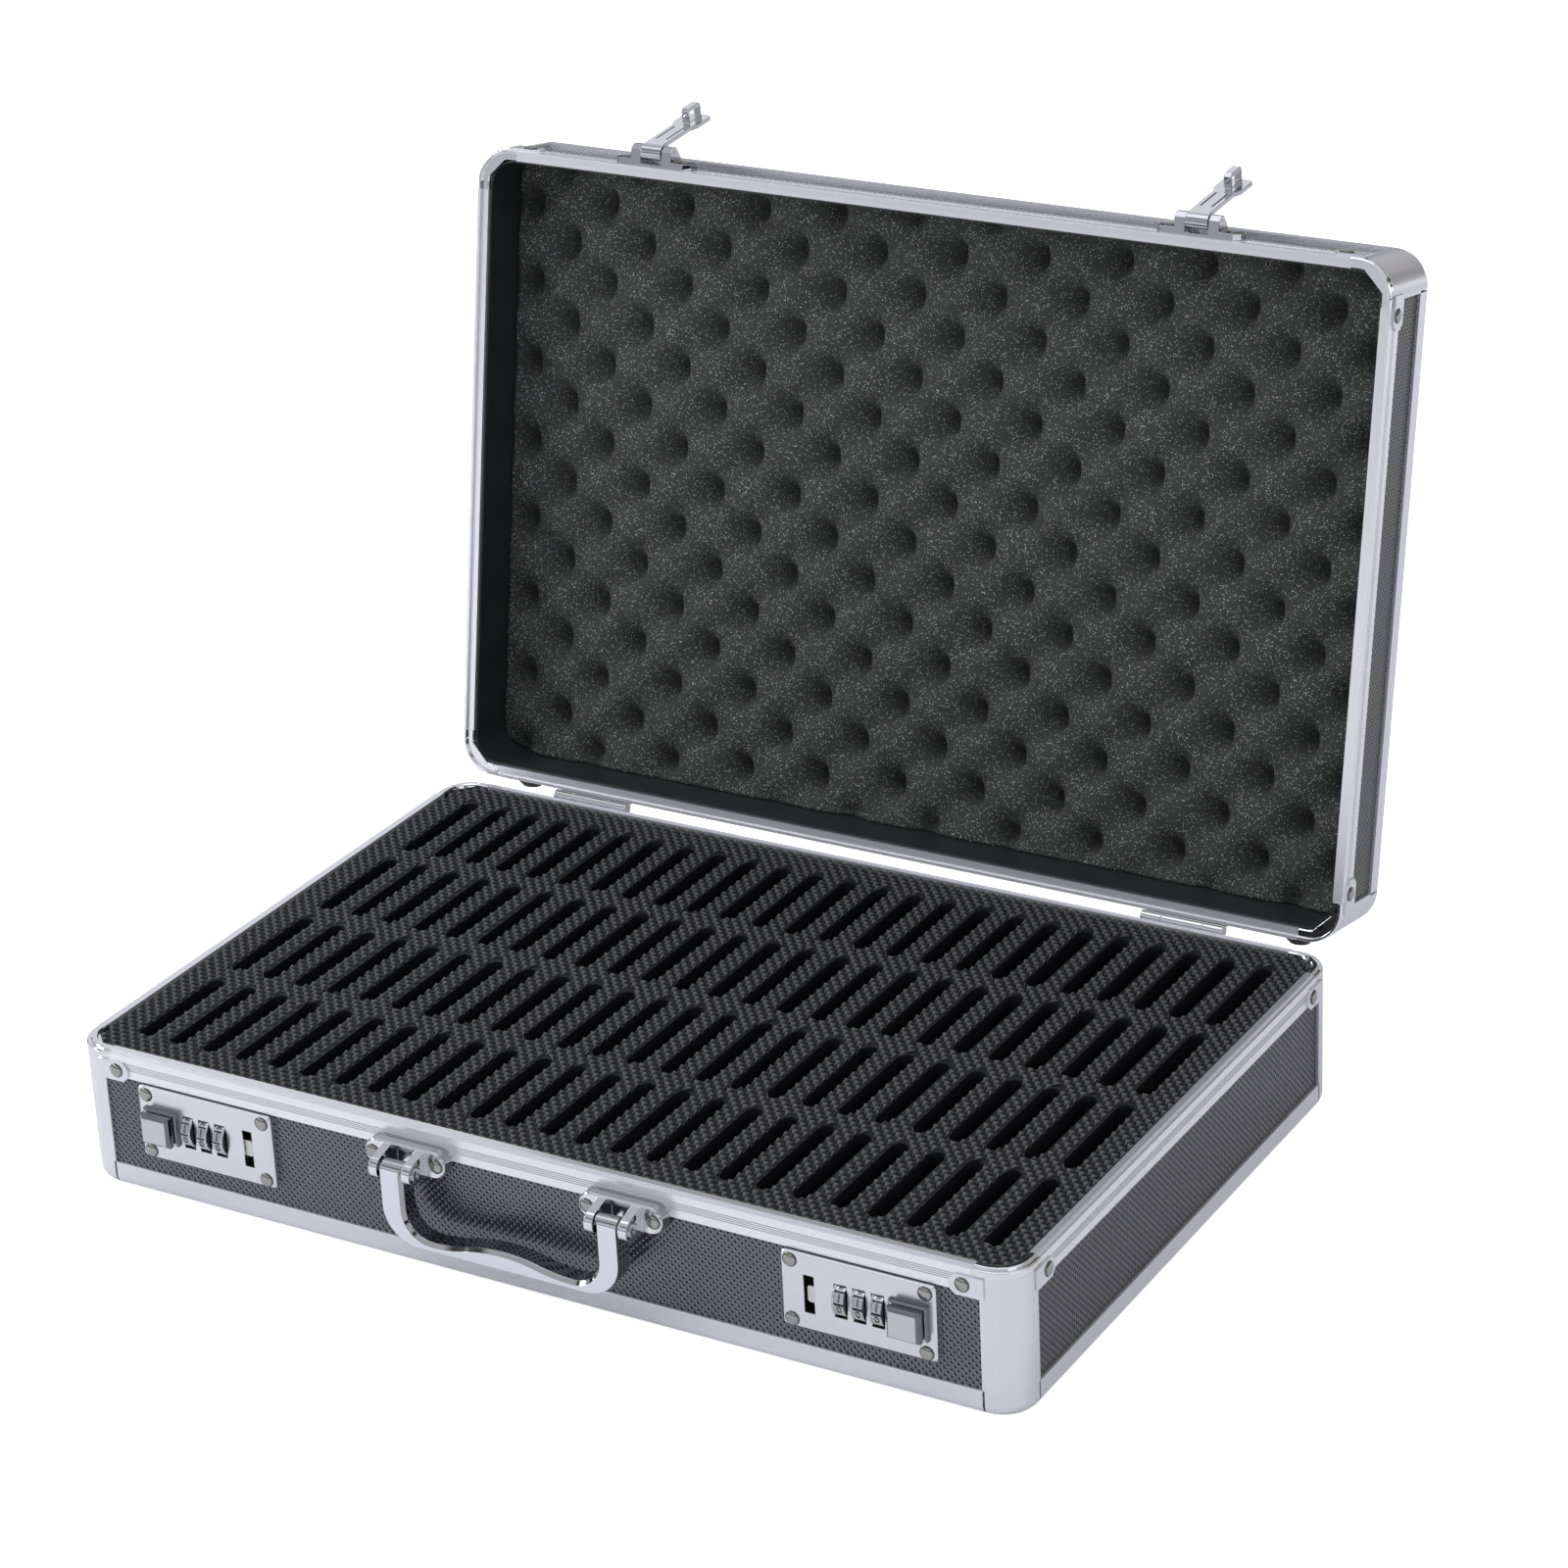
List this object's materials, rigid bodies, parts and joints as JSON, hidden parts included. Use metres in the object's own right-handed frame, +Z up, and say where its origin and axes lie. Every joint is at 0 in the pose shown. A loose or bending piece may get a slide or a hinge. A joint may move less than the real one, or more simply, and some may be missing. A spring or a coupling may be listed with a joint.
{
  "type": "coin slab storage case",
  "caption": "Shallow aluminium-framed case with slotted foam for upright coin slabs, an egg-crate padded hinged lid, combination locks, hasps and a bail handle, standing open.",
  "frame": {"origin": "centre of the case's underside", "axes": "+X to the case's right along its width, +Y from the handle's side to the hinges, +Z up"},
  "size_m": [0.4644, 0.425, 0.3851],
  "materials": {
    "embossed_panel": "thin fibreboard under a diamond-embossed dark grey sheet",
    "aluminium": "satin silver anodised extrusion",
    "chrome": "bright plated casting",
    "rivet": "bright plated domed head",
    "lock_plate": "satin plated plate with bright bevel",
    "handle_metal": "satin front face, bright edges",
    "slab_foam": "black cellular foam with a knurled top",
    "egg_foam": "dark grey open-cell foam with pale specks",
    "lining": "smooth black lining",
    "foot_rubber": "black rubber"
  },
  "bodies": {
    "base": {"base_floor_panel": "embossed_panel", "base_front_panel": "embossed_panel", "base_back_panel": "embossed_panel", "base_left_panel": "embossed_panel", "base_right_panel": "embossed_panel", "base_rim_extrusions": "aluminium", "base_edge_extrusions": "aluminium", "base_corner_posts": "aluminium", "base_corner_caps": "aluminium", "base_rim_corners": "chrome", "base_corner_rivets": "rivet", "slab_foam_fins": "slab_foam", "slab_foam_bars": "slab_foam", "foam_floor_pad": "slab_foam", "lock_plates": "lock_plate", "lock_housings": "chrome", "dial_shafts": "chrome", "lock_rivets": "rivet", "handle_bracket_left": "chrome", "handle_bracket_right": "chrome", "handle_pins": "chrome", "bracket_rivets": "rivet", "hinge_base_leaves": "chrome", "hinge_pins": "chrome", "hinge_base_rivets": "rivet", "base_rear_feet": "foot_rubber"},
    "lid": {"lid_floor_panel": "embossed_panel", "lid_front_panel": "embossed_panel", "lid_back_panel": "embossed_panel", "lid_left_panel": "embossed_panel", "lid_right_panel": "embossed_panel", "lid_rim_extrusions": "aluminium", "lid_edge_extrusions": "aluminium", "lid_corner_posts": "aluminium", "lid_corner_caps": "aluminium", "lid_rim_corners": "chrome", "lid_corner_rivets": "rivet", "lid_lining": "lining", "egg_crate_foam": "egg_foam", "hasp_bases": "chrome", "hasp_pins": "chrome", "hasp_rivets": "rivet", "hinge_lid_leaves": "chrome", "hinge_lid_rivets": "rivet", "lid_rear_feet": "foot_rubber"},
    "hasp_lever_left": {"hasp_lever_left": "chrome"},
    "hasp_lever_right": {"hasp_lever_right": "chrome"},
    "handle": {"handle": "handle_metal"},
    "lock_button_left": {"lock_button_left": "chrome", "latch_slider_left": "chrome"},
    "left_dial_1": {"left_dial_1": "chrome"},
    "left_dial_2": {"left_dial_2": "chrome"},
    "left_dial_3": {"left_dial_3": "chrome"},
    "lock_button_right": {"lock_button_right": "chrome", "latch_slider_right": "chrome"},
    "right_dial_1": {"right_dial_1": "chrome"},
    "right_dial_2": {"right_dial_2": "chrome"},
    "right_dial_3": {"right_dial_3": "chrome"}
  },
  "joints": [
    {"name": "lid_hinge", "type": "hinge", "parent": "base", "child": "lid", "pos_m": [0, 0.154, 0.0662], "axis": [1, 0, 0], "range_deg": [0, 100.36]},
    {"name": "hasp_left", "type": "hinge", "parent": "lid", "child": "hasp_lever_left", "pos_m": [-0.1374, 0.21518, 0.37168], "axis": [1, 0, 0], "range_deg": [0, 165.7]},
    {"name": "hasp_right", "type": "hinge", "parent": "lid", "child": "hasp_lever_right", "pos_m": [0.1374, 0.21518, 0.37168], "axis": [1, 0, 0], "range_deg": [0, 165.7]},
    {"name": "handle_swing", "type": "hinge", "parent": "base", "child": "handle", "pos_m": [0, -0.1642, 0.0535], "axis": [-1, 0, 0], "range_deg": [0, 165]},
    {"name": "button_left", "type": "slide", "parent": "base", "child": "lock_button_left", "axis": [-1, 0, 0], "range_m": [0, 0.004], "stiffness_N_per_m": 300, "springref_m": -0.002},
    {"name": "left_dial_1_turn", "type": "hinge", "parent": "base", "child": "left_dial_1", "pos_m": [-0.1517, -0.1472, 0.0375], "axis": [1, 0, 0], "continuous": true},
    {"name": "left_dial_2_turn", "type": "hinge", "parent": "base", "child": "left_dial_2", "pos_m": [-0.1602, -0.1472, 0.0375], "axis": [1, 0, 0], "continuous": true},
    {"name": "left_dial_3_turn", "type": "hinge", "parent": "base", "child": "left_dial_3", "pos_m": [-0.1687, -0.1472, 0.0375], "axis": [1, 0, 0], "continuous": true},
    {"name": "button_right", "type": "slide", "parent": "base", "child": "lock_button_right", "axis": [1, 0, 0], "range_m": [0, 0.004], "stiffness_N_per_m": 300, "springref_m": -0.002},
    {"name": "right_dial_1_turn", "type": "hinge", "parent": "base", "child": "right_dial_1", "pos_m": [0.1517, -0.1472, 0.0375], "axis": [1, 0, 0], "continuous": true},
    {"name": "right_dial_2_turn", "type": "hinge", "parent": "base", "child": "right_dial_2", "pos_m": [0.1602, -0.1472, 0.0375], "axis": [1, 0, 0], "continuous": true},
    {"name": "right_dial_3_turn", "type": "hinge", "parent": "base", "child": "right_dial_3", "pos_m": [0.1687, -0.1472, 0.0375], "axis": [1, 0, 0], "continuous": true}
  ]
}
